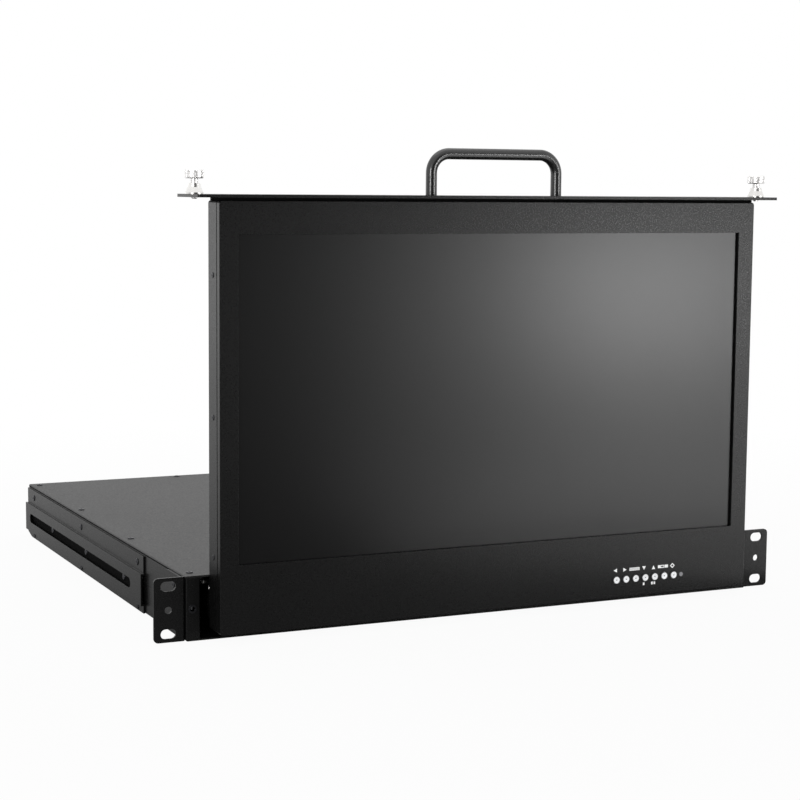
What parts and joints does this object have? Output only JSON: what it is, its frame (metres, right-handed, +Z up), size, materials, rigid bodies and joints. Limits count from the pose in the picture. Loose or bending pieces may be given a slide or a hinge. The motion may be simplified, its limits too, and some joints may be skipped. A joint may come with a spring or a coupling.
{
  "type": "rack monitor drawer",
  "caption": "Flat rack chassis with a slide-out carriage and a fold-up flat screen; its front plate has a bar handle and thumb screws, and its bezel a row of keys.",
  "frame": {"origin": "centre of the ear slot pattern on the rear faces of the rack ears", "axes": "+X to the right seen from the front, +Y into the rack, +Z up"},
  "size_m": [0.4826, 0.4508, 0.324],
  "materials": {
    "powder_black": "fine textured powder coat",
    "powder_black_cover": "fine textured powder coat",
    "zinc_steel": "zinc plated",
    "nickel": "bright nickel plated",
    "black_screw": "black oxide",
    "screen": "glossy",
    "module_metal": "bare",
    "board_green": "solder mask",
    "connector_metal": "tin plated",
    "connector_black": "moulded",
    "key_silver": "satin silver",
    "led_white": "diffuse",
    "nylon_white": "moulded",
    "foam_black": "foam",
    "handle_black": "satin powder coat"
  },
  "bodies": {
    "chassis": {"chassis_tray": "powder_black", "top_cover": "powder_black_cover", "cover_screws": "black_screw", "rear_panel": "powder_black", "rack_ear_left": "powder_black", "rack_ear_right": "powder_black", "side_bracket_left": "powder_black", "side_bracket_right": "powder_black", "side_screws": "black_screw", "guide_rail_left": "zinc_steel", "guide_rail_right": "zinc_steel", "guide_rail_screws": "black_screw", "flange_inserts": "black_screw", "control_board": "board_green", "board_standoffs": "nickel", "vga_connector": "connector_metal", "hdmi_connector": "connector_metal", "dc_inlet": "connector_black"},
    "carriage": {"runner_left": "zinc_steel", "runner_right": "zinc_steel", "glide_blocks": "nylon_white", "carriage_plate": "powder_black", "carriage_screws": "nickel", "hinge_arm_left": "powder_black", "hinge_arm_right": "powder_black", "hinge_arm_screws": "nickel"},
    "display": {"hinge_pin_left": "nickel", "hinge_pin_right": "nickel", "friction_washers": "zinc_steel", "hinge_leaf_left": "zinc_steel", "hinge_leaf_right": "zinc_steel", "hinge_leaf_screws": "nickel", "front_bezel": "powder_black", "rear_cover": "powder_black", "rear_cover_screws": "black_screw", "lcd_glass": "screen", "lcd_module": "module_metal", "key_board": "board_green", "led_lens": "led_white", "front_plate": "powder_black", "plate_gasket": "foam_black", "plate_screws": "black_screw", "handle": "handle_black", "handle_screws": "nickel", "thumb_ferrule_left": "nickel", "thumb_ferrule_right": "nickel", "thumb_spring_left": "nickel", "thumb_spring_right": "nickel"},
    "thumb_slider_left": {"thumb_ring_left": "nickel"},
    "thumb_knob_left": {"thumb_screw_left": "nickel"},
    "thumb_slider_right": {"thumb_ring_right": "nickel"},
    "thumb_knob_right": {"thumb_screw_right": "nickel"},
    "key_1": {"button_1": "key_silver"},
    "key_2": {"button_2": "key_silver"},
    "key_3": {"button_3": "key_silver"},
    "key_4": {"button_4": "key_silver"},
    "key_5": {"button_5": "key_silver"},
    "key_6": {"button_6": "key_silver"},
    "key_7": {"button_7": "key_silver"}
  },
  "joints": [
    {"name": "drawer_slide", "type": "slide", "parent": "chassis", "child": "carriage", "axis": [0, -1, 0], "range_m": [0, 0.018]},
    {"name": "display_fold", "type": "hinge", "parent": "carriage", "child": "display", "pos_m": [0, -0.0149, -0.0043], "axis": [1, 0, 0], "range_deg": [0, 90]},
    {"name": "thumb_press_left", "type": "slide", "parent": "display", "child": "thumb_slider_left", "axis": [0, 0, -1], "range_m": [0, 0.003], "stiffness_N_per_m": 300, "springref_m": -0.003, "deforming": ["thumb_spring_left"]},
    {"name": "thumb_spin_left", "type": "hinge", "parent": "thumb_slider_left", "child": "thumb_knob_left", "pos_m": [-0.2156, -0.0106, 0.2707], "axis": [0, 0, 1], "continuous": true},
    {"name": "thumb_press_right", "type": "slide", "parent": "display", "child": "thumb_slider_right", "axis": [0, 0, -1], "range_m": [0, 0.003], "stiffness_N_per_m": 300, "springref_m": -0.003, "deforming": ["thumb_spring_right"]},
    {"name": "thumb_spin_right", "type": "hinge", "parent": "thumb_slider_right", "child": "thumb_knob_right", "pos_m": [0.2156, -0.0106, 0.2707], "axis": [0, 0, 1], "continuous": true},
    {"name": "button_press_1", "type": "slide", "parent": "display", "child": "key_1", "axis": [0, 1, 0], "range_m": [0, 0.0005], "stiffness_N_per_m": 1000, "springref_m": -0.0005},
    {"name": "button_press_2", "type": "slide", "parent": "display", "child": "key_2", "axis": [0, 1, 0], "range_m": [0, 0.0005], "stiffness_N_per_m": 1000, "springref_m": -0.0005},
    {"name": "button_press_3", "type": "slide", "parent": "display", "child": "key_3", "axis": [0, 1, 0], "range_m": [0, 0.0005], "stiffness_N_per_m": 1000, "springref_m": -0.0005},
    {"name": "button_press_4", "type": "slide", "parent": "display", "child": "key_4", "axis": [0, 1, 0], "range_m": [0, 0.0005], "stiffness_N_per_m": 1000, "springref_m": -0.0005},
    {"name": "button_press_5", "type": "slide", "parent": "display", "child": "key_5", "axis": [0, 1, 0], "range_m": [0, 0.0005], "stiffness_N_per_m": 1000, "springref_m": -0.0005},
    {"name": "button_press_6", "type": "slide", "parent": "display", "child": "key_6", "axis": [0, 1, 0], "range_m": [0, 0.0005], "stiffness_N_per_m": 1000, "springref_m": -0.0005},
    {"name": "button_press_7", "type": "slide", "parent": "display", "child": "key_7", "axis": [0, 1, 0], "range_m": [0, 0.0005], "stiffness_N_per_m": 1000, "springref_m": -0.0005}
  ]
}
